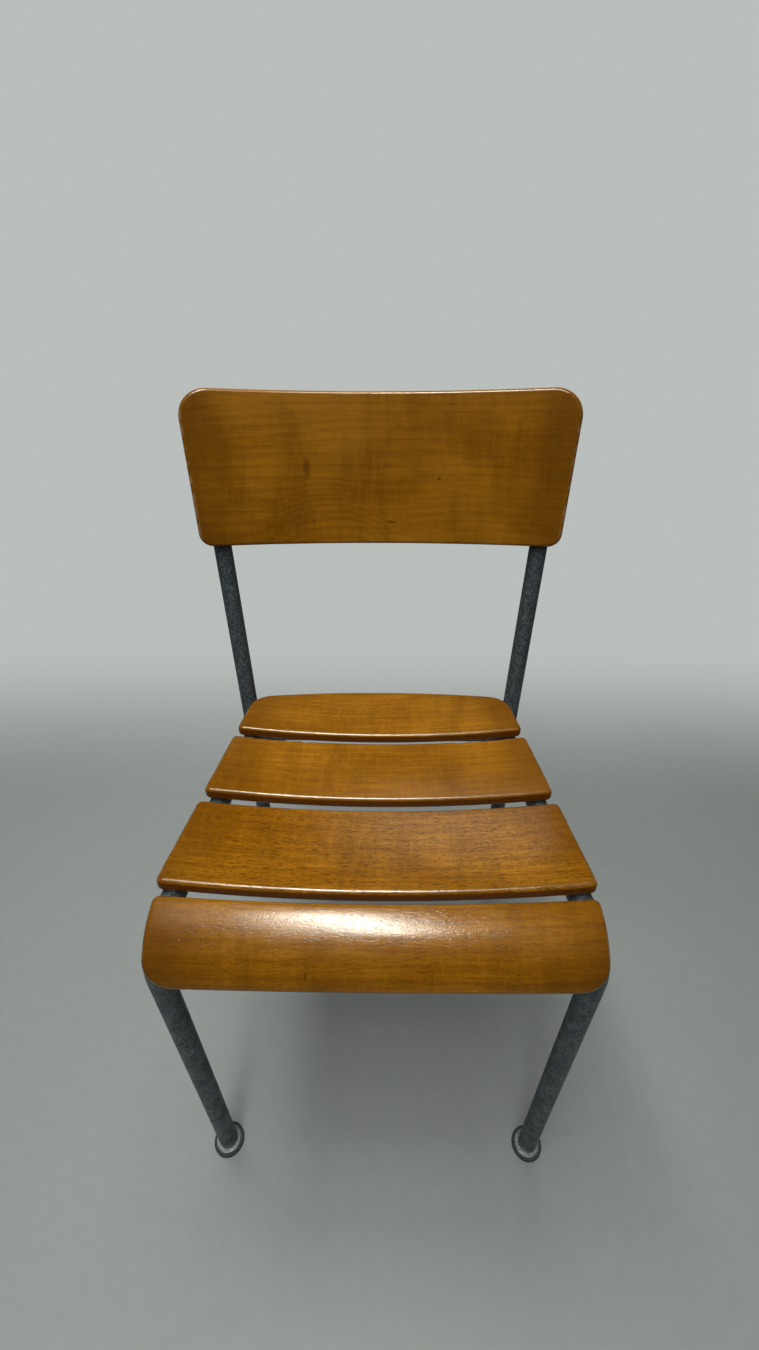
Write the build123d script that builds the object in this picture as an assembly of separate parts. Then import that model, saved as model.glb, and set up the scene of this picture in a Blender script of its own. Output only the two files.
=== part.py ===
from build123d import *
from math import asin, atan2, cos, degrees, radians, sin, sqrt, tan
import os

# Stacking chair: bent steel tube frame, four moulded plywood seat slats and a curved plywood backrest.
#
# The chair faces -Y and stands on Z = 0. +X is on the right of someone who faces it, and the names left
# and right follow that view. The origin is the middle of the chair's footprint.

# ---- tubes ----
TUBE_D = 22.0
TUBE_R = TUBE_D / 2
TUBE_WALL = 1.5

# ---- front legs and the side rails that they bend into ----
LEG_X = 192.0                # front leg axis, each side of the middle
FRONT_LEG_Y = -222.15
RAIL_TOE = 4.8               # degrees, the rails run together towards the back
SEAT_SLOPE = 3.86            # degrees, the seat falls towards the back
RAIL_CORNER_Z = 449.7        # where the rail axis would meet the leg axis
RAIL_BEND_R = 39.0

# ---- rear legs and the uprights that they bend into ----
KNEE_X = 182.9               # where the leg axis would meet the upright axis
KNEE_Y = FRONT_LEG_Y + 360.9
KNEE_Z = 415.0
KNEE_BEND_R = 110.0
REAR_FOOT_X = 200.7
REAR_FOOT_Y = FRONT_LEG_Y + 376.8
UPRIGHT_LEAN = 11.6          # degrees back from the vertical
UPRIGHT_SPLAY = 3.9          # degrees outwards
UPRIGHT_TOP_Z = 792.0

# ---- rail ends and cross tubes, distances behind the front legs ----
RAIL_END_BACK = 374.0
CROSS_BACKS = {"front": 112.0, "rear": 322.0}
CROSS_R = 9.0
CROSS_DROP = 11.5            # cross tube axes under the rail axes

# ---- feet ----
PAD_D = 37.0
PAD_H = 5.0
PAD_CHAMFER = 0.8            # lower rim
PAD_EDGE_R = 1.0             # upper rim
PLATE_D = 30.5
PLATE_H = 2.5
PLATE_EDGE_R = 0.8
PLATE_SEAT = 1.0             # depth that the plate sinks into its pad
SPIGOT_L = 16.0
LEG_END_Z = PAD_H - PLATE_SEAT + PLATE_H

# ---- seat slats, distances behind the front legs ----
SLAT_T = 14.0
SLAT_DISH_R = 1370.0         # curvature across the seat, hollow side up
SLAT_HALF_AT_LEG = 202.3     # half width that the slats would have over the front legs
SLAT_TAPER = 0.076           # loss of half width for each millimetre further back
SLAT_EDGE_R = 4.5
SLAT_CORNER_R = 6.0
SLAT_CLEAR = 0.1             # gap between a slat and its rails
SLAT_SPANS = {"second": (46.0, 151.8), "third": (166.0, 268.0), "rear": (282.5, 358.5)}
SLAT_SCREWS = {"second": (74.0, 129.0), "third": (193.0, 246.0), "rear": (301.0, 343.0)}
REAR_SLAT_BOW = 30.0         # bulge of the rear slat's back edge
REAR_SLAT_CORNER_R = 36.0

# ---- front slat, bent over the bends of the rails ----
FRONT_SLAT_HALF = 195.0
FRONT_SLAT_CLEAR = 0.25
FRONT_SLAT_DISH_R = 4600.0   # slight curvature across the seat
FRONT_SLAT_START = 15.5      # degrees above the horizontal, lower front edge
FRONT_SLAT_END = 84.7        # degrees, middle of the back edge
FRONT_SLAT_BACK_R = 5100.0   # hollow of the back edge, seen from above
FRONT_SLAT_CORNER_R = 26.0
FRONT_SLAT_SCREWS = (33.0, 64.0)
FRONT_SLAT_SCREW_LEAN = 15.0  # degrees towards the middle, away from the slat's ends

# ---- backrest ----
BACK_T = 10.0
BACK_DISH_R = 630.0          # front face, hollow side to the sitter
BACK_TOP_HALF = 228.2
BACK_BOTTOM_HALF = 218.2
BACK_BOTTOM_Z = 650.0
BACK_H = 173.8
BACK_TOP_CORNER_R = 31.0
BACK_BOTTOM_CORNER_R = 16.0
BACK_EDGE_R = 3.5
BACK_CLEAR = 0.1
BACK_SCREWS = (692.0, 768.0)  # heights on the uprights

# ---- screws ----
SHANK_R = 2.25
HEAD_R = 4.75
HEAD_H = 3.0
HEAD_EDGE_R = 1.4
SLOT_W = 1.2
SLOT_SPAN = 5.8
SLOT_DEPTH = 1.8
HOLE_CLEAR = 0.05
HEAD_CLEAR = 0.06            # a head's flat face touches a straight tube along one line
BEND_HEAD_CLEAR = 0.60       # and stands off the hollow side of a bend
SEAT_BITE = 10.5             # how deep a screw goes into a slat
BACK_BITE = 6.5

# ---- end caps ----
CAP_H = 4.0
CAP_DOME_R = 3.2
CAP_STEM_L = 14.0

# ---- cutting and sorting ----
OVERRUN = 1.0                # how far a cutting tool runs past a surface
TOLERANCE = 0.01
TRIM_BLOCK = 1000.0          # block that cuts the rear legs level

SIDES = {"left": -1, "right": 1}
UP = (Align.CENTER, Align.CENTER, Align.MIN)
SEAT_NORMAL = Vector(0, sin(radians(SEAT_SLOPE)), cos(radians(SEAT_SLOPE)))


# ---- axes of the frame ----

def rail_axis(side, back):
    """Point on a rail's straight axis, at a distance behind the front legs."""
    x = LEG_X - back * tan(radians(RAIL_TOE))
    return Vector(side * x, FRONT_LEG_Y + back, RAIL_CORNER_Z - back * tan(radians(SEAT_SLOPE)))


def upright_axis(side, z):
    """Point on an upright's axis at a height."""
    rise = z - KNEE_Z
    x = KNEE_X + rise * tan(radians(UPRIGHT_SPLAY))
    return Vector(side * x, KNEE_Y + rise * tan(radians(UPRIGHT_LEAN)), z)


def rear_leg_axis(side, z):
    """Point on a rear leg's axis at a height."""
    share = z / KNEE_Z
    x = REAR_FOOT_X + share * (KNEE_X - REAR_FOOT_X)
    return Vector(side * x, REAR_FOOT_Y + share * (KNEE_Y - REAR_FOOT_Y), z)


def front_path(side):
    """Leg, bend and rail of one side. The rail passes the inner side of its upright."""
    foot = Vector(side * LEG_X, FRONT_LEG_Y, LEG_END_Z)
    corner = Vector(side * LEG_X, FRONT_LEG_Y, RAIL_CORNER_Z)
    return FilletPolyline(foot, corner, rail_axis(side, RAIL_END_BACK), radius=RAIL_BEND_R)


def rear_path(side):
    """Rear leg, knee and upright of one side, from a little under the floor."""
    knee = Vector(side * KNEE_X, KNEE_Y, KNEE_Z)
    return FilletPolyline(
        rear_leg_axis(side, -TUBE_D), knee, upright_axis(side, UPRIGHT_TOP_Z), radius=KNEE_BEND_R
    )


def cross_path(back):
    """Straight line from rail to rail, low enough to clear the dished slats."""
    left, right = (rail_axis(side, back) - SEAT_NORMAL * CROSS_DROP for side in SIDES.values())
    return Line(left, right)


def rail_bend(side):
    """Centre of the bend between a front leg and its rail, and the level direction from it to the leg."""
    setback = RAIL_BEND_R * tan(radians((90 + SEAT_SLOPE) / 2))
    to_leg = Vector(side * sin(radians(RAIL_TOE)), -cos(radians(RAIL_TOE)), 0)
    bend_start = Vector(side * LEG_X, FRONT_LEG_Y, RAIL_CORNER_Z - setback)
    return bend_start - to_leg * RAIL_BEND_R, to_leg


# ---- shared shapes ----

def bar(path, radius):
    """Solid bar of round section along a path."""
    return sweep(Plane(path @ 0, z_dir=path % 0) * Circle(radius), path)


def largest(shape):
    """The biggest solid of a cut, without the offcuts."""
    return shape.solids().sort_by(SortBy.VOLUME)[-1]


def tube(path, radius, cutters=()):
    """Hollow tube along a path, coped to the solids that it meets."""
    body = bar(path, radius) - bar(path, radius - TUBE_WALL)
    for cutter in cutters:
        body -= cutter
    return largest(body)


def drilled(body, sites):
    """A solid with a hole for the shank of each screw."""
    for plane, length in sites:
        body -= plane * Pos(0, 0, -OVERRUN) * Cylinder(SHANK_R + HOLE_CLEAR, length + OVERRUN, align=UP)
    return largest(body)


def screw(plane, length):
    """Cross-recessed pan head screw that bears on the plane and runs along the plane's normal."""
    head = Cylinder(HEAD_R, HEAD_H, align=UP)
    head = fillet(head.edges().sort_by(Axis.Z)[0], HEAD_EDGE_R)
    for width, depth in ((SLOT_W, SLOT_SPAN), (SLOT_SPAN, SLOT_W)):
        head -= Box(width, depth, SLOT_DEPTH, align=UP)
    shank = Cylinder(SHANK_R, length, align=UP)
    return largest(plane * (Pos(0, 0, -HEAD_H) * head + shank))


def rounded(body, faces, radius):
    """A solid with the whole rim of some of its faces rounded."""
    rim = [edge for face in faces for edge in face.edges()]
    return fillet(rim, radius)


# ---- seat slats ----

def slat_half(back):
    """Half width of the seat at a distance behind the front legs."""
    return SLAT_HALF_AT_LEG - back * SLAT_TAPER


def slat_plane(back):
    """Plane of the rail axes, with its origin in the middle of the seat."""
    origin = rail_axis(1, back)
    return Plane((0, origin.Y, origin.Z), x_dir=(1, 0, 0), z_dir=SEAT_NORMAL)


def dish_height(span):
    """Height of a slat's centre of curvature over the rail axes, resting at its back edge."""
    reach = SLAT_DISH_R + SLAT_T + TUBE_R + SLAT_CLEAR
    return sqrt(reach**2 - rail_axis(1, span[1]).X ** 2)


def slat(span):
    """Dished slat between two distances behind the front legs. The rear one has a round back."""
    front_half, back_half, depth = slat_half(span[0]), slat_half(span[1]), span[1] - span[0]
    sides = Polyline((-back_half, depth), (-front_half, 0), (front_half, 0), (back_half, depth))
    back, corner_r = Line(sides @ 0, sides @ 1), SLAT_CORNER_R
    if span == SLAT_SPANS["rear"]:
        back = ThreePointArc(sides @ 0, (0, depth + REAR_SLAT_BOW), sides @ 1)
        corner_r = REAR_SLAT_CORNER_R
    plan = make_face([sides, back])
    plan = fillet(plan.vertices().sort_by(Axis.Y)[:2], SLAT_CORNER_R)
    back_ends = plan.vertices().filter_by_position(Axis.Y, depth - TOLERANCE, depth + TOLERANCE)
    plan = fillet(back_ends, corner_r)
    ring = Circle(SLAT_DISH_R + SLAT_T) - Circle(SLAT_DISH_R)
    band = extrude(Plane.XZ * Pos(0, dish_height(span)) * ring, 2 * depth, both=True)
    body = band & extrude(plan, 2 * SLAT_T, both=True)
    skins = body.faces().sort_by(SortBy.AREA)[-2:]
    return slat_plane(span[0]) * rounded(largest(body), skins, SLAT_EDGE_R)


def slat_sites(span, distances):
    """Where the screws of one slat start under the rails, and how long they are."""
    sites = []
    for side in SIDES.values():
        for back in distances:
            axis_point = rail_axis(side, back)
            centre = slat_plane(back).origin + SEAT_NORMAL * dish_height(span)
            up = (centre - axis_point).normalized()
            start = axis_point - up * (TUBE_R + HEAD_CLEAR)
            sites.append((Plane(start, z_dir=up), TUBE_D + SEAT_BITE))
    return sites


def front_slat():
    """Slat that rolls over the front of the seat, round the bends of the rails."""
    centre = rail_bend(1)[0]
    inner = RAIL_BEND_R + TUBE_R + FRONT_SLAT_CLEAR
    outer = inner + SLAT_T
    outside, inside = (CenterArc((0, 0), radius, 90, 90 - FRONT_SLAT_START) for radius in (outer, inner))
    profile = make_face([outside, Line(outside @ 1, inside @ 1), inside, Line(inside @ 0, outside @ 0)])
    dish_axis = Axis((0, FRONT_SLAT_DISH_R, 0), (1, 0, 0))
    half_turn = degrees(asin((FRONT_SLAT_HALF + OVERRUN) / (FRONT_SLAT_DISH_R - outer)))
    body = revolve(profile.rotate(dish_axis, -half_turn), dish_axis, 2 * half_turn)
    body &= Box(4 * outer, 4 * outer, 2 * FRONT_SLAT_HALF)
    hollow = Pos(FRONT_SLAT_BACK_R - outer * cos(radians(FRONT_SLAT_END)), 0, 0) * Rot(90, 0, 0)
    body -= hollow * Cylinder(FRONT_SLAT_BACK_R, 4 * outer)
    for place, radius in ((slice(0, 2), FRONT_SLAT_CORNER_R), (slice(-2, None), SLAT_CORNER_R)):
        corners = body.edges().filter_by(lambda edge: abs(edge.length - SLAT_T) < SLAT_T / 50)
        body = fillet(corners.sort_by(Axis.Y)[place], radius)
    skins = body.faces().sort_by(SortBy.AREA)[-2:]
    sag = FRONT_SLAT_DISH_R - sqrt(FRONT_SLAT_DISH_R**2 - centre.X**2)
    plane = Plane((0, centre.Y, centre.Z - sag), x_dir=(0, 1, 0), z_dir=(1, 0, 0))
    return plane * rounded(body, skins, SLAT_EDGE_R)


def front_slat_sites():
    """Screws through the bends of the rails and into the front slat."""
    sites, lean = [], radians(FRONT_SLAT_SCREW_LEAN)
    for side in SIDES.values():
        centre, to_leg = rail_bend(side)
        for angle in FRONT_SLAT_SCREWS:
            out = to_leg * cos(radians(angle)) + Vector(0, 0, sin(radians(angle)))
            inward = Vector(-side, 0, 0) + out * (side * out.X)
            along = out * cos(lean) + inward.normalized() * sin(lean)
            start = centre + out * RAIL_BEND_R - along * (TUBE_R + BEND_HEAD_CLEAR)
            sites.append((Plane(start, z_dir=along), TUBE_D + SEAT_BITE))
    return sites


# ---- backrest ----

def back_frame():
    """Plane whose normal runs up the panel and whose origin is the panel's centre of curvature.

    The panel leans so that it bears on both uprights at the lower and at the upper screws.
    """
    reach = BACK_DISH_R + BACK_T + TUBE_R + BACK_CLEAR
    low, high = (upright_axis(1, z) for z in BACK_SCREWS)
    insets = [sqrt(reach**2 - point.X**2) for point in (low, high)]
    rise = sqrt((high.Y - low.Y) ** 2 + (high.Z - low.Z) ** 2)
    lean = atan2(high.Y - low.Y, high.Z - low.Z) - asin((insets[1] - insets[0]) / rise)
    along, rearward = Vector(0, sin(lean), cos(lean)), Vector(0, cos(lean), -sin(lean))
    centre = rearward * (low.dot(rearward) - insets[0])
    face = centre + rearward * BACK_DISH_R
    return Plane(centre + along * ((BACK_BOTTOM_Z - face.Z) / cos(lean)), x_dir=(1, 0, 0), z_dir=along)


def backrest():
    """Panel curved round the sitter's back, wider at the top."""
    bottom = [(-BACK_BOTTOM_HALF, 0), (BACK_BOTTOM_HALF, 0)]
    top = [(BACK_TOP_HALF, BACK_H), (-BACK_TOP_HALF, BACK_H)]
    outline = make_face(Polyline(*bottom, *top, close=True))
    outline = fillet(outline.vertices().sort_by(Axis.Y)[:2], BACK_BOTTOM_CORNER_R)
    outline = fillet(outline.vertices().sort_by(Axis.Y)[-2:], BACK_TOP_CORNER_R)
    block = Pos(0, BACK_DISH_R, 0) * extrude(Plane.XZ * outline, BACK_DISH_R / 2, both=True)
    ring = extrude(Circle(BACK_DISH_R + BACK_T) - Circle(BACK_DISH_R), BACK_H)
    body = largest(ring & block)
    skins = body.faces().sort_by(SortBy.AREA)[-2:]
    return back_frame() * rounded(body, skins, BACK_EDGE_R)


def backrest_sites():
    """Screws from behind, through the uprights and into the panel."""
    frame, sites = back_frame(), []
    for side in SIDES.values():
        for z in BACK_SCREWS:
            axis_point = upright_axis(side, z)
            along = frame.z_dir * (axis_point - frame.origin).dot(frame.z_dir)
            forward = (frame.origin + along - axis_point).normalized()
            start = axis_point - forward * (TUBE_R + HEAD_CLEAR)
            sites.append((Plane(start, z_dir=forward), TUBE_D + BACK_BITE))
    return sites


# ---- feet and caps ----

def foot_pad(x, y):
    """Rubber glide under a leg, with a shallow seat for the foot plate."""
    pad = Cylinder(PAD_D / 2, PAD_H, align=UP)
    pad = chamfer(pad.edges().sort_by(Axis.Z)[0], PAD_CHAMFER)
    pad = fillet(pad.edges().sort_by(Axis.Z)[-1], PAD_EDGE_R)
    pad -= Pos(0, 0, PAD_H - PLATE_SEAT) * Cylinder(PLATE_D / 2, PAD_H, align=UP)
    return Pos(x, y, 0) * pad


def foot_plate(x, y, leg_direction):
    """Steel disc with a spigot that plugs the end of a leg."""
    plate = Cylinder(PLATE_D / 2, PLATE_H, align=UP)
    plate = fillet(plate.edges().sort_by(Axis.Z)[-1], PLATE_EDGE_R)
    spigot = Plane((0, 0, PLATE_H / 2), z_dir=leg_direction) * Cylinder(
        TUBE_R - TUBE_WALL - HOLE_CLEAR, SPIGOT_L, align=UP
    )
    return Pos(x, y, LEG_END_Z - PLATE_H) * largest(plate + spigot)


def end_cap(path):
    """Domed plug in the open far end of a tube."""
    head = Cylinder(TUBE_R, CAP_H, align=UP)
    head = fillet(head.edges().sort_by(Axis.Z)[-1], CAP_DOME_R)
    stem = Pos(0, 0, -CAP_STEM_L) * Cylinder(TUBE_R - TUBE_WALL - HOLE_CLEAR, CAP_STEM_L, align=UP)
    return Plane(path @ 1, z_dir=path % 1) * largest(head + stem)


# ---- assembly ----

def build():
    """Every node of the chair, by name."""
    nodes, sites = {}, {"front_slat": front_slat_sites()}
    for name, span in SLAT_SPANS.items():
        sites[f"{name}_slat"] = slat_sites(span, SLAT_SCREWS[name])
    seat_sites = [site for group in sites.values() for site in group]
    sites["backrest"] = backrest_sites()

    rail_bars = [bar(front_path(side), TUBE_R) for side in SIDES.values()]
    for place, back in CROSS_BACKS.items():
        nodes[f"{place}_cross_tube"] = tube(cross_path(back), CROSS_R, rail_bars)
    ground = Pos(0, 0, LEG_END_Z - TRIM_BLOCK) * Box(TRIM_BLOCK, TRIM_BLOCK, TRIM_BLOCK, align=UP)
    for name, side in SIDES.items():
        nodes[f"front_leg_rail_{name}"] = drilled(tube(front_path(side), TUBE_R), seat_sites)
        upright = tube(rear_path(side), TUBE_R, [ground])
        nodes[f"rear_leg_upright_{name}"] = drilled(upright, sites["backrest"])
        nodes[f"rail_cap_{name}"] = end_cap(front_path(side))
        nodes[f"upright_cap_{name}"] = end_cap(rear_path(side))
        feet = {"front": Vector(side * LEG_X, FRONT_LEG_Y, 0), "rear": rear_leg_axis(side, LEG_END_Z)}
        directions = {"front": (0, 0, 1), "rear": rear_leg_axis(side, KNEE_Z) - rear_leg_axis(side, 0)}
        for place, foot in feet.items():
            nodes[f"foot_pad_{place}_{name}"] = foot_pad(foot.X, foot.Y)
            nodes[f"foot_plate_{place}_{name}"] = foot_plate(foot.X, foot.Y, directions[place])

    nodes["front_slat"] = drilled(front_slat(), sites["front_slat"])
    for name, span in SLAT_SPANS.items():
        nodes[f"{name}_slat"] = drilled(slat(span), sites[f"{name}_slat"])
    nodes["backrest_panel"] = drilled(backrest(), sites["backrest"])
    for name, group in sites.items():
        nodes[f"{name}_screws"] = Compound(children=[screw(*site) for site in group])
    return nodes


os.makedirs("parts", exist_ok=True)
for node, shape in build().items():
    export_step(shape, f"parts/{node}.step")
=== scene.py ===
from math import cos, pi, radians, sin, sqrt, tan, tau

import bmesh
import bpy
from mathutils import Matrix, Vector


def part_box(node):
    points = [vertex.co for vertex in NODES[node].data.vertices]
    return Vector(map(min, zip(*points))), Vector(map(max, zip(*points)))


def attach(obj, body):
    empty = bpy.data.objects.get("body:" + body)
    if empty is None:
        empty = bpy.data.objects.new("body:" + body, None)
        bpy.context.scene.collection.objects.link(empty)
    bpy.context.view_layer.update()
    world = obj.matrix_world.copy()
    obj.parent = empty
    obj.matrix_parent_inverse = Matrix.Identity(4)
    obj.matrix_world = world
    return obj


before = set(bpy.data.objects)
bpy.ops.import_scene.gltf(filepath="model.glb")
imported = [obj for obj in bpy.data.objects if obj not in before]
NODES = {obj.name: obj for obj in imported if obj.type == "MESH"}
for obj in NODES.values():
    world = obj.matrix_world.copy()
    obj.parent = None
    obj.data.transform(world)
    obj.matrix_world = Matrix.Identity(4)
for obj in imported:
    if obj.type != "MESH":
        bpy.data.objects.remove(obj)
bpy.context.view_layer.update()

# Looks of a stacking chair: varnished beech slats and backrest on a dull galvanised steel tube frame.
#
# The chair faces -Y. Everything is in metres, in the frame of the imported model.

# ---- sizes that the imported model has, named here for the grain's coordinates and the welds ----
TUBE_R = 0.011
SEAT_SLOPE = radians(3.86)      # the seat falls towards the back
SLAT_T = 0.014
SLAT_DISH_R = 1.37
SLAT_TAPER = 0.076              # loss of half width towards the back
BEND_R = 0.039                  # axis of the rails' front bends
RAIL_TOE = radians(4.8)
FRONT_SLAT_CLEAR = 0.00025
FRONT_SLAT_DISH_R = 4.6
BACK_T = 0.010
BACK_DISH_R = 0.63
BACK_TAPER = 0.0575             # loss of half width downwards
BACK_MIDDLE = 0.02              # half width of the backrest's middle strip

# ---- welds ----
WELD_R = 0.0019
WELD_RING_R = 0.0068            # ring of weld round the touching point of two tubes
WELD_STEPS = 72                 # along a bead
WELD_SIDES = 12                 # round a bead

# ---- view and studio ----
CAMERA_PLACE = (0.0081, -0.4747, 0.8955)
CAMERA_PITCH = radians(33.65)   # down from the horizon
CAMERA_YAW = radians(0.80)      # to the left
CAMERA_ROLL = radians(0.18)
CAMERA_LENS, CAMERA_SENSOR = 14.53, 36.0    # millimetres
FLOOR_R = 3.6
FLOOR_RINGS, FLOOR_TURNS = 40, 96
FLOOR_FAR = (0.72, 2.52)        # distance from the chair where the floor fades
FLOOR_BACK = (0.34, 1.05)       # where it fades behind the chair, along Y
DOME_R = 12.0
BACKDROP = (0.49, 0.515, 0.50, 1.0)
SURROUND_STRENGTH = 0.13        # light that the surroundings give, as a share of the backdrop's
LAMP_COLOUR = (0.97, 1.0, 0.98)
LAMP_SPREAD = radians(125)


class Graph:
    """A node material, built one node to a call. Numbers and colours go in where sockets do."""

    def __init__(self, name):
        self.material = bpy.data.materials.new(name)
        self.material.use_nodes = True
        self.tree = self.material.node_tree
        self.tree.nodes.clear()

    def node(self, kind, inputs=(), **settings):
        """A new node. inputs maps a socket's name or number to a value or to another node's output."""
        made = self.tree.nodes.new(kind)
        for key, value in settings.items():
            setattr(made, key, value)
        for key, value in dict(inputs).items():
            if isinstance(value, bpy.types.NodeSocket):
                self.tree.links.new(value, made.inputs[key])
            else:
                made.inputs[key].default_value = value
        return made

    def math(self, operation, *values):
        return self.node("ShaderNodeMath", enumerate(values), operation=operation).outputs[0]

    def add(self, *values):
        total = values[0]
        for value in values[1:]:
            total = self.math("ADD", total, value)
        return total

    def times(self, a, b):
        return self.math("MULTIPLY", a, b)

    def xyz(self, x, y, z):
        return self.node("ShaderNodeCombineXYZ", {"X": x, "Y": y, "Z": z}).outputs[0]

    def position(self):
        """The object's own X, Y and Z."""
        where = self.node("ShaderNodeTexCoord").outputs["Object"]
        return self.node("ShaderNodeSeparateXYZ", {0: where}).outputs

    def noise(self, vector, scale=1.0, detail=2.0, rough=0.5, twist=0.0):
        shape = {"Scale": scale, "Detail": detail, "Roughness": rough, "Distortion": twist}
        return self.node("ShaderNodeTexNoise", {"Vector": vector, **shape}).outputs["Fac"]

    def step(self, value, low, high, at_low=0.0, at_high=1.0):
        """A smooth step from at_low to at_high, while value goes from low to high."""
        sockets = {"Value": value, "From Min": low, "From Max": high, "To Min": at_low, "To Max": at_high}
        return self.node("ShaderNodeMapRange", sockets, interpolation_type="SMOOTHSTEP").outputs[0]

    def spot(self, u, v, at_u, at_v, wide, tall):
        """1 in the middle of a soft oval spot, and 0 from its rim outwards."""
        a = self.math("DIVIDE", self.math("SUBTRACT", u, at_u), wide)
        b = self.math("DIVIDE", self.math("SUBTRACT", v, at_v), tall)
        return self.step(self.add(self.times(a, a), self.times(b, b)), 1.0, 0.0)

    def mix(self, share, first, second):
        made = self.node("ShaderNodeMix", {0: share, 6: first, 7: second}, data_type="RGBA")
        return made.outputs[2]

    def bump(self, height, distance, strength=1.0, normal=None):
        sockets = {"Height": height, "Distance": distance, "Strength": strength}
        if normal is not None:
            sockets["Normal"] = normal
        return self.node("ShaderNodeBump", sockets).outputs[0]

    def surface(self, **sockets):
        """Ends the material in a Principled shader. Socket names have _ for a space."""
        named = {key.replace("_", " "): value for key, value in sockets.items()}
        shader = self.node("ShaderNodeBsdfPrincipled", named)
        self.node("ShaderNodeOutputMaterial", {"Surface": shader.outputs[0]})
        return self.material


def rgb(red, green, blue):
    return (red, green, blue, 1.0)


# ---- beech ----
VARNISH = rgb(1.0, 0.97, 0.88)          # tint of the old varnish's gloss
WOOD_LIGHT = rgb(0.265, 0.106, 0.004)
WOOD_MIDDLE = rgb(0.190, 0.070, 0.001)
WOOD_DARK = rgb(0.075, 0.024, 0.000)
WOOD_SPECK = rgb(0.030, 0.008, 0.001)
WOOD_CHAFED = rgb(0.40, 0.26, 0.14)
LAYER_LIGHT = rgb(0.130, 0.036, 0.001)
LAYER_DARK = rgb(0.085, 0.021, 0.000)
LAYER_GRIME = rgb(0.018, 0.006, 0.001)
LAYER_PITCH = 0.0028                    # two glued layers of the ply
EDGE_DEPTHS = (0.0022, 0.0040)          # the face turns into the edge between these depths
RING_RATE = 520                         # growth rings across the grain, in radians a metre
FACE_GLOSS, EDGE_GLOSS_LOSS = 0.42, 0.30
SKIN_BUMP, GRAIN_BUMP = 0.00010, 0.00006
SEED_STEP = 3.7                         # moves each panel to its own part of the noise

# A panel's coordinates are u along the grain, v across it, w, the depth under the face that shows most, and
# the distance from its nearer end.

def dished_slat(name):
    """Coordinates of a seat slat, a piece of a wide cylinder that lies along the seat's slope."""
    lowest = min(v.co.y * sin(SEAT_SLOPE) + v.co.z * cos(SEAT_SLOPE) for v in NODES[name].data.vertices)
    centre = lowest + SLAT_T + SLAT_DISH_R
    low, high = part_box(name)

    def coordinates(g):
        x, y, z = g.position()
        up = g.add(g.times(y, sin(SEAT_SLOPE)), g.times(z, cos(SEAT_SLOPE)))
        drop = g.math("SUBTRACT", centre, up)
        radius = g.math("SQRT", g.add(g.times(x, x), g.times(drop, drop)))
        v = g.math("SUBTRACT", y, low.y)
        half = g.math("SUBTRACT", high.x, g.times(v, SLAT_TAPER))
        end = g.math("SUBTRACT", half, g.math("ABSOLUTE", x))
        return x, v, g.math("SUBTRACT", radius, SLAT_DISH_R), end

    return coordinates


def rolled_slat(name):
    """Coordinates of the front slat, which follows the bends of the rails."""
    rail_low, rail_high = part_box("front_leg_rail_left")
    centre_y = rail_low.y + TUBE_R + BEND_R * cos(RAIL_TOE)
    centre_x = rail_low.x + TUBE_R + BEND_R * sin(RAIL_TOE)
    sag = FRONT_SLAT_DISH_R - sqrt(FRONT_SLAT_DISH_R**2 - centre_x**2)
    centre_z = rail_high.z - TUBE_R - BEND_R - sag
    outer = BEND_R + TUBE_R + FRONT_SLAT_CLEAR + SLAT_T
    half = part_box(name)[1].x

    def coordinates(g):
        x, y, z = g.position()
        drop = g.math("SUBTRACT", centre_z + FRONT_SLAT_DISH_R, z)
        reach = g.math("SQRT", g.add(g.times(x, x), g.times(drop, drop)))
        rise = g.math("SUBTRACT", FRONT_SLAT_DISH_R, reach)
        forward = g.math("SUBTRACT", centre_y, y)
        radius = g.math("SQRT", g.add(g.times(rise, rise), g.times(forward, forward)))
        turn = g.math("ARCTAN2", rise, forward)
        end = g.math("SUBTRACT", half, g.math("ABSOLUTE", x))
        return x, g.times(turn, -outer), g.math("SUBTRACT", outer, radius), end

    return coordinates


def curved_back(name):
    """Coordinates of the backrest, a piece of a leaning cylinder."""
    points = [v.co for v in NODES[name].data.vertices]
    # the front face's middle line shows how far the panel leans
    middle = [p for p in points if abs(p.x) < BACK_MIDDLE]
    front_low = min(middle, key=lambda p: p.z + 3 * p.y)
    front_high = max(middle, key=lambda p: p.z - 2 * p.y)
    up = (front_high - front_low) * Vector((0, 1, 1))
    up.normalize()
    rearward = Vector((0, up.z, -up.y))
    deepest = max(p.dot(rearward) for p in middle)
    top = max(p.dot(up) for p in points)
    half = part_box(name)[1].x

    def coordinates(g):
        x, y, z = g.position()
        back = g.add(g.times(y, rearward.y), g.times(z, rearward.z))
        drop = g.math("SUBTRACT", back, deepest - BACK_T - BACK_DISH_R)
        radius = g.math("SQRT", g.add(g.times(x, x), g.times(drop, drop)))
        v = g.add(g.times(y, up.y), g.times(z, up.z))
        taper = g.times(g.math("SUBTRACT", top, v), BACK_TAPER)
        end = g.math("SUBTRACT", g.math("SUBTRACT", half, taper), g.math("ABSOLUTE", x))
        return x, g.times(v, -1.0), g.math("SUBTRACT", radius, BACK_DISH_R), end

    return coordinates


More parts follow.
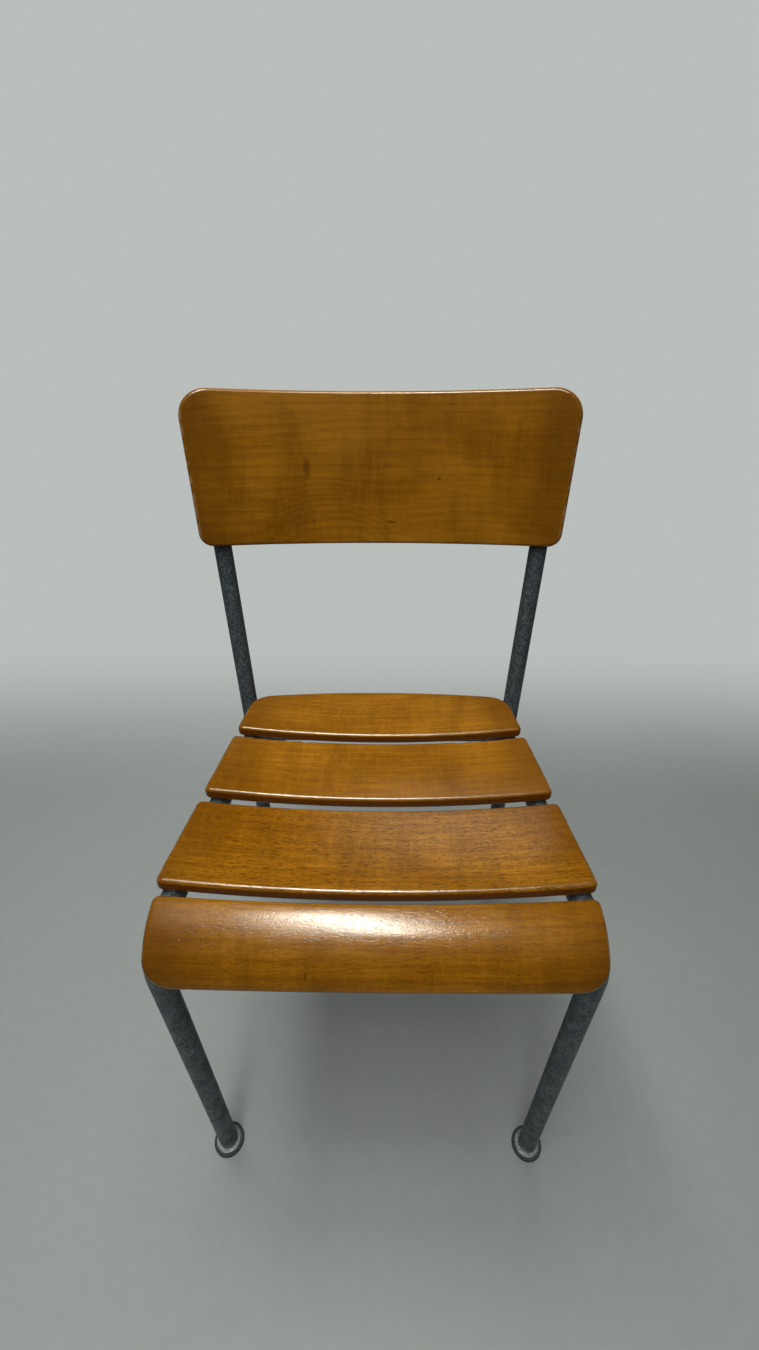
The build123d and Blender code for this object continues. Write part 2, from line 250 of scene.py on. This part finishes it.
def beech(panel, seed, coordinates, thickness, grain, pores, arch=None, marks=()):
    """Amber varnished beech ply: fibres, flecks, soft figure, dark ends and glued layers on the edges.

    coordinates makes the panel's coordinates, grain is the strength of the fibres and streaks, pores that of
    the short dark flecks, arch the place and size of a cathedral figure, and marks the places, half sizes
    and strengths of dark spots.
    """
    g = Graph(f"beech_{panel}")
    u, v, w, end = coordinates(panel)(g)
    shift = seed * SEED_STEP

    def field(per_u, per_v, per_w, offset=0.0, detail=2.0, rough=0.5):
        """Noise with its own number of waves to the metre along u, v and w."""
        depth = g.add(g.times(w, per_w), shift + offset)
        return g.noise(g.xyz(g.times(u, per_u), g.times(v, per_v), depth), detail=detail, rough=rough)

    fibre = field(50, 620, 300, detail=4.0, rough=0.65)
    thread = field(14, 330, 150, 9.3, detail=4.0, rough=0.65)
    streak = field(6, 210, 60, 1.3, detail=4.0, rough=0.6)
    sweep = field(3.2, 9, 4, 2.1, detail=1.0)
    tone = field(7, 17, 6, 5.2, detail=3.0)
    band = field(24, 5, 6, 3.6)
    shimmer = field(190, 40, 10, 6.4)
    fleck = g.step(field(240, 900, 300, 7.7, detail=1.0), 0.56, 0.66)
    dash = g.step(field(120, 620, 200, 8.9), 0.56, 0.66)
    across, figure = v, 0.16
    if arch:
        (arch_u, arch_v), (wide, tall) = arch
        bulge = g.spot(u, v, arch_u, arch_v, wide, 2 * tall)
        across = g.add(v, g.times(bulge, tall))
        figure = g.add(figure, g.times(bulge, 0.08))
    drift = (g.times(sweep, 22), g.times(streak, 5), g.times(tone, 6))
    rings = g.math("SINE", g.add(g.times(across, RING_RATE), *drift))

    colour = g.mix(g.step(tone, 0.34, 0.66), WOOD_MIDDLE, WOOD_LIGHT)
    colour = g.mix(g.step(band, 0.44, 0.70, 0.0, 0.38), colour, WOOD_DARK)
    colour = g.mix(g.step(streak, 0.42, 0.74, 0.0, 0.34 * grain), colour, WOOD_DARK)
    colour = g.mix(g.times(g.step(rings, -0.2, 1.0), figure), colour, WOOD_DARK)
    colour = g.mix(g.step(thread, 0.40, 0.68, 0.0, 0.40 * grain), colour, WOOD_DARK)
    colour = g.mix(g.step(fibre, 0.38, 0.68, 0.0, 0.46 * grain), colour, WOOD_DARK)
    colour = g.mix(g.step(shimmer, 0.45, 0.72, 0.0, 0.20), colour, WOOD_LIGHT)
    colour = g.mix(g.times(fleck, 0.50 * pores), colour, WOOD_SPECK)
    colour = g.mix(g.times(dash, 0.60 * pores), colour, WOOD_SPECK)
    far = g.add(end, g.times(tone, 0.05))
    colour = g.mix(g.step(far, 0.095, 0.030, 0.0, 0.50), colour, WOOD_DARK)
    for (mark_u, mark_v), (wide, tall), strength in marks:
        soil = g.spot(u, v, mark_u, mark_v, wide, tall)
        colour = g.mix(g.times(soil, strength), colour, WOOD_SPECK)

    chafed = field(90, 90, 90, 13.0, detail=3.0)
    rim = g.times(g.step(end, 0.0035, 0.0010), g.step(chafed, 0.42, 0.62, 0.0, 0.26))
    colour = g.mix(rim, colour, WOOD_CHAFED)

    depth = g.math("MINIMUM", w, g.math("SUBTRACT", thickness, w))
    on_edge = g.step(depth, *EDGE_DEPTHS)
    layer = g.math("SINE", g.times(w, tau / LAYER_PITCH))
    layers = g.mix(g.step(layer, -0.2, 0.2), LAYER_LIGHT, LAYER_DARK)
    grime = g.step(field(300, 300, 600, 11.0), 0.45, 0.75, 0.0, 0.6)
    colour = g.mix(on_edge, colour, g.mix(grime, layers, LAYER_GRIME))

    wear = field(9, 12, 5, 12.0, detail=4.0, rough=0.6)
    roughness = g.add(g.step(wear, 0.35, 0.70, 0.13, 0.19), g.times(fibre, 0.04), g.times(on_edge, 0.05))
    gloss = g.math("SUBTRACT", FACE_GLOSS, g.times(on_edge, EDGE_GLOSS_LOSS))
    relief = g.add(g.times(fibre, 0.5), g.times(fleck, -0.9), g.times(dash, -0.7), g.times(streak, 0.5))
    skin = field(520, 900, 520, 14.0)
    normal = g.bump(skin, SKIN_BUMP, 0.50, g.bump(relief, GRAIN_BUMP, 0.42 + 0.35 * pores))
    return g.surface(
        Base_Color=colour, Roughness=roughness, IOR=1.5, Specular_IOR_Level=gloss,
        Specular_Tint=VARNISH, Normal=normal,
    )


# ---- metal, rubber and plastic ----

def galvanised(name, dark, light, roughness, spots):
    """Dull zinc with a mottled bloom, black spots and scuffs."""
    g = Graph(name)
    where = g.node("ShaderNodeTexCoord").outputs["Object"]
    bloom = g.noise(where, 60, 3.0, 0.5, 0.3)
    grain = g.noise(where, 380, 4.0, 0.7)
    tall = g.node("ShaderNodeMapping", {"Vector": where, "Scale": (1, 1, 0.12)}).outputs[0]
    run = g.noise(tall, 330, 3.0, 0.6)
    spot = g.step(g.noise(where, 300, 2.0, 0.5, 0.2), 0.60, 0.68)
    colour = g.mix(g.step(grain, 0.41, 0.61), dark, light)
    colour = g.mix(g.step(bloom, 0.40, 0.62, 0.0, 0.50), colour, dark)
    colour = g.mix(g.step(run, 0.50, 0.72, 0.0, 0.30), colour, dark)
    colour = g.mix(g.times(spot, spots), colour, rgb(0.008, 0.009, 0.010))
    rough = g.add(g.step(bloom, 0.30, 0.70, roughness - 0.06, roughness + 0.08), g.times(grain, 0.10))
    height = g.add(g.times(bloom, 0.4), g.times(grain, 0.5), g.times(spot, -0.4))
    return g.surface(
        Base_Color=colour, Roughness=rough, Metallic=0.45, Normal=g.bump(height, 0.00022, 0.5)
    )


def moulded(name, colour, dust, roughness, pit):
    """Dark rubber or plastic with a fine texture and dust."""
    g = Graph(name)
    where = g.node("ShaderNodeTexCoord").outputs["Object"]
    patch = g.noise(where, 140, 4.0, 0.6)
    fine = g.noise(where, 1500, 2.0)
    tone = g.mix(g.step(patch, 0.40, 0.75, 0.0, 0.7), colour, dust)
    rough = g.add(g.times(patch, 0.15), roughness)
    height = g.add(g.times(fine, 0.5), g.times(patch, 0.4))
    return g.surface(Base_Color=tone, Roughness=rough, Normal=g.bump(height, pit, 0.6))


def paint(names, material):
    """Gives CAD nodes a material."""
    for name in names:
        mesh = NODES[name].data
        mesh.materials.clear()
        mesh.materials.append(material)


SIDES = ("left", "right")
TUBES = [f"{part}_{side}" for part in ("front_leg_rail", "rear_leg_upright") for side in SIDES]
FEET = [f"{place}_{side}" for place in ("front", "rear") for side in SIDES]


# marks hold the place along and across the grain, the half sizes and the strength of each
PANELS = {
    "front_slat": dict(
        coordinates=rolled_slat, thickness=SLAT_T, grain=0.75, pores=0.40,
        marks=(
            ((-0.058, -0.035), (0.0016, 0.0045), 0.55), ((-0.186, -0.098), (0.0050, 0.0022), 0.80),
            ((-0.205, -0.050), (0.080, 0.060), 0.34), ((0.210, -0.040), (0.060, 0.050), 0.20),
        ),
    ),
    "second_slat": dict(
        coordinates=dished_slat, thickness=SLAT_T, grain=1.00, pores=0.80,
        marks=(((0.118, 0.075), (0.0050, 0.0018), 0.65), ((-0.010, 0.032), (0.0024, 0.0016), 0.60)),
    ),
    "third_slat": dict(coordinates=dished_slat, thickness=SLAT_T, grain=0.80, pores=0.35),
    "rear_slat": dict(coordinates=dished_slat, thickness=SLAT_T, grain=0.75, pores=0.30),
    "backrest_panel": dict(
        coordinates=curved_back, thickness=BACK_T, grain=0.50, pores=0.15,
        arch=((-0.062, -0.690), (0.085, 0.036)),
        marks=(
            ((-0.0885, -0.767), (0.0055, 0.016), 0.48), ((0.072, -0.755), (0.0022, 0.0016), 0.85),
            ((0.0145, -0.704), (0.0080, 0.0022), 0.60), ((-0.082, -0.704), (0.0016, 0.0020), 0.60),
        ),
    ),
}


def dress():
    """Materials for every CAD node."""
    for seed, (name, look) in enumerate(PANELS.items(), 1):
        paint([name], beech(name, seed, **look))
    steel = galvanised("galvanised_tube", rgb(0.031, 0.040, 0.045), rgb(0.116, 0.141, 0.152), 0.44, 0.8)
    paint(TUBES + ["front_cross_tube", "rear_cross_tube"], steel)
    worn = galvanised("worn_steel", rgb(0.09, 0.10, 0.098), rgb(0.27, 0.29, 0.28), 0.38, 0.6)
    paint([f"foot_plate_{foot}" for foot in FEET], worn)
    zinc = galvanised("zinc_screw", rgb(0.30, 0.31, 0.30), rgb(0.52, 0.53, 0.52), 0.34, 0.25)
    paint([name for name in NODES if name.endswith("_screws")], zinc)
    rubber = moulded("black_rubber", rgb(0.008, 0.009, 0.010), rgb(0.030, 0.031, 0.030), 0.65, 0.00015)
    paint([f"foot_pad_{foot}" for foot in FEET], rubber)
    plastic = moulded("black_plastic", rgb(0.012, 0.012, 0.013), rgb(0.040, 0.040, 0.038), 0.40, 0.00008)
    paint([f"{part}_cap_{side}" for part in ("rail", "upright") for side in SIDES], plastic)


# ---- welds ----

RAIL_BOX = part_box("front_leg_rail_right")


def rail_axis(side, y):
    """Point on a side rail's straight axis. side is -1 on the left."""
    low, high = RAIL_BOX
    back = y - low.y - TUBE_R
    corner_z = high.z - TUBE_R - BEND_R + BEND_R * tan((pi / 2 + SEAT_SLOPE) / 2)
    return Vector((side * (high.x - TUBE_R - back * tan(RAIL_TOE)), y, corner_z - back * tan(SEAT_SLOPE)))


def bead(name, path, radius, body="root"):
    """Weld bead along a closed path: a rope of small overlapping ripples, not quite even."""
    around, count = WELD_SIDES, len(path)
    bm = bmesh.new()
    rows = []
    for i, point in enumerate(path):
        ahead = (path[(i + 1) % count] - path[i - 1]).normalized()
        side = ahead.orthogonal().normalized() if not rows else (last - ahead * last.dot(ahead)).normalized()
        last, out = side, ahead.cross(side)
        # two waves of different lengths, so that no two ripples are the same
        ripple = 1 + 0.10 * abs(sin(i * 0.9)) + 0.07 * sin(i * 0.37 + radius * 9000)
        turns = (tau * k / around for k in range(around))
        rows.append([bm.verts.new(point + radius * ripple * (side * cos(a) + out * sin(a))) for a in turns])
    for i, row in enumerate(rows):
        following = rows[(i + 1) % count]
        # a closed path brings the last ring back turned, so it is joined at its nearest corner
        near = min(range(around), key=lambda k: (following[k].co - row[0].co).length) if i == count - 1 else 0
        for k in range(around):
            a, b = following[(k + near) % around], following[(k + 1 + near) % around]
            bm.faces.new((row[k], row[(k + 1) % around], b, a)).smooth = True
    bmesh.ops.recalc_face_normals(bm, faces=bm.faces)
    mesh = bpy.data.meshes.new(name)
    bm.to_mesh(mesh)
    made = bpy.data.objects.new(name, mesh)
    bpy.context.scene.collection.objects.link(made)
    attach(made, body)
    return made


def cross_weld_path(place, side):
    """Where a cross tube's skin meets the skin of a rail."""
    low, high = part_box(f"{place}_cross_tube")
    middle, radius = (low + high) / 2, (high.z - low.z) / 2
    along = (rail_axis(side, middle.y + 0.01) - rail_axis(side, middle.y)).normalized()
    outward = Vector((side, 0, 0))
    path = []
    for i in range(WELD_STEPS):
        angle = tau * i / WELD_STEPS
        start = Vector((0, middle.y, middle.z)) + radius * Vector((0, cos(angle), sin(angle)))
        gap = start - rail_axis(side, middle.y)
        a, b = outward - along * outward.dot(along), gap - along * gap.dot(along)
        half = a.dot(b) / a.length_squared
        reach = -half - sqrt(max(half**2 - (b.length_squared - TUBE_R**2) / a.length_squared, 0))
        path.append(start + outward * reach)
    return path


def upright_weld_path(side):
    """Ring round the point where a rail touches its upright, in the crease between the two tubes."""
    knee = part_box("rear_leg_upright_right")[0].y + TUBE_R
    centre = rail_axis(side, knee) + Vector((side * TUBE_R, 0, 0))
    along = (rail_axis(side, knee + 0.01) - rail_axis(side, knee)).normalized()
    up = along.cross(Vector((side, 0, 0))).normalized()
    turns = (tau * i / WELD_STEPS for i in range(WELD_STEPS))
    return [centre + WELD_RING_R * (along * cos(a) + up * sin(a)) for a in turns]


def welds():
    """Weld beads at the joints of the frame."""
    steel = galvanised("weld_steel", rgb(0.020, 0.022, 0.024), rgb(0.075, 0.080, 0.082), 0.50, 0.6)
    for name, side in (("left", -1), ("right", 1)):
        beads = [bead(f"weld_upright_{name}", upright_weld_path(side), WELD_R)]
        for place in ("front", "rear"):
            beads.append(bead(f"weld_{place}_cross_{name}", cross_weld_path(place, side), WELD_R))
        for made in beads:
            made.data.materials.append(steel)


# ---- studio ----

def studio_floor():
    """Plain pale floor, which fades into the backdrop far from the chair."""
    bm = bmesh.new()
    spokes = [bm.verts.new((FLOOR_R * i / FLOOR_RINGS, 0, 0)) for i in range(FLOOR_RINGS + 1)]
    edges = [bm.edges.new(pair) for pair in zip(spokes, spokes[1:])]
    bmesh.ops.spin(bm, geom=spokes + edges, axis=(0, 0, 1), angle=tau, steps=FLOOR_TURNS)
    bmesh.ops.remove_doubles(bm, verts=bm.verts, dist=1e-5)
    bmesh.ops.recalc_face_normals(bm, faces=bm.faces)
    mesh = bpy.data.meshes.new("studio_floor")
    bm.to_mesh(mesh)
    floor = bpy.data.objects.new("studio_floor", mesh)
    bpy.context.scene.collection.objects.link(floor)
    g = Graph("pale_floor")
    x, y, z = g.position()
    away = g.math("SQRT", g.add(g.times(x, x), g.times(y, y)))
    tone = g.mix(g.noise(g.xyz(x, y, z), 60, 3.0), rgb(0.180, 0.189, 0.183), rgb(0.205, 0.214, 0.208))
    fade = g.times(g.step(away, *FLOOR_FAR, 1.0, 0.0), g.step(y, *FLOOR_BACK, 1.0, 0.0))
    mesh.materials.append(g.surface(Base_Color=tone, Roughness=0.6, IOR=1.4, Alpha=fade))


def lamp(name, place, size, turn, power, diffuse=True, glossy=True):
    """Soft rectangular light, which faces down where turn is zero."""
    data = bpy.data.lights.new(name, "AREA")
    data.shape = "RECTANGLE"
    data.size, data.size_y = size
    data.energy = power
    data.color = LAMP_COLOUR
    data.spread = LAMP_SPREAD
    light = bpy.data.objects.new(name, data)
    light.location = place
    light.rotation_euler = [radians(angle) for angle in turn]
    light.visible_camera = False
    light.visible_diffuse = diffuse
    light.visible_glossy = glossy
    bpy.context.scene.collection.objects.link(light)


def backdrop():
    """Pale dome that only the camera sees, and dimmer surroundings that light the chair."""
    bm = bmesh.new()
    bmesh.ops.create_uvsphere(bm, u_segments=48, v_segments=24, radius=DOME_R)
    mesh = bpy.data.meshes.new("backdrop_dome")
    bm.to_mesh(mesh)
    dome = bpy.data.objects.new("backdrop_dome", mesh)
    bpy.context.scene.collection.objects.link(dome)
    dome.visible_diffuse = dome.visible_glossy = dome.visible_transmission = dome.visible_shadow = False
    g = Graph("backdrop")
    glow = g.node("ShaderNodeEmission", {"Color": BACKDROP, "Strength": 1.0})
    g.node("ShaderNodeOutputMaterial", {"Surface": glow.outputs[0]})
    mesh.materials.append(g.material)
    world = bpy.data.worlds.new("studio")
    world.use_nodes = True
    world.node_tree.nodes["Background"].inputs["Color"].default_value = BACKDROP
    world.node_tree.nodes["Background"].inputs["Strength"].default_value = SURROUND_STRENGTH
    bpy.context.scene.world = world


def studio():
    """Floor, backdrop and lamps. Only the shine strip shows in the varnish, the others give even light."""
    studio_floor()
    backdrop()
    lamp("strip_left", (-0.40, -0.60, 2.45), (0.30, 2.20), (0, 0, 15), 27, glossy=False)
    lamp("strip_left_shine", (-0.14, -0.68, 2.45), (0.36, 1.10), (0, 0, 12), 36, diffuse=False)
    lamp("strip_right", (1.3, -0.1, 2.45), (0.25, 2.4), (0, 0, 10), 2, glossy=False)
    lamp("overhead", (-0.1, 0.45, 2.4), (1.2, 0.9), (0, 0, 0), 15, glossy=False)
    lamp("rear_fill", (0.0, 2.5, 1.5), (1.6, 1.0), (-74, 0, 0), 7, glossy=False)
    lamp("front_fill", (0.1, -1.9, 2.2), (1.6, 1.0), (50, 0, 0), 9, glossy=False)
    bpy.context.scene.view_settings.view_transform = "Standard"


def camera():
    """Camera in front of the chair, above it and looking down."""
    level = Vector((cos(CAMERA_YAW), sin(CAMERA_YAW), 0))
    heading = Vector((-sin(CAMERA_YAW), cos(CAMERA_YAW), 0))
    ahead = heading * cos(CAMERA_PITCH) - Vector((0, 0, sin(CAMERA_PITCH)))
    down = ahead.cross(level)
    right = level * cos(CAMERA_ROLL) + down * sin(CAMERA_ROLL)
    up = level * sin(CAMERA_ROLL) - down * cos(CAMERA_ROLL)
    data = bpy.data.cameras.new("camera")
    data.lens = CAMERA_LENS
    data.sensor_width = CAMERA_SENSOR
    seen = bpy.data.objects.new("camera", data)
    seen.matrix_world = Matrix.Translation(CAMERA_PLACE) @ Matrix((right, up, -ahead)).transposed().to_4x4()
    bpy.context.scene.collection.objects.link(seen)
    bpy.context.scene.camera = seen


dress()
welds()
studio()
camera()
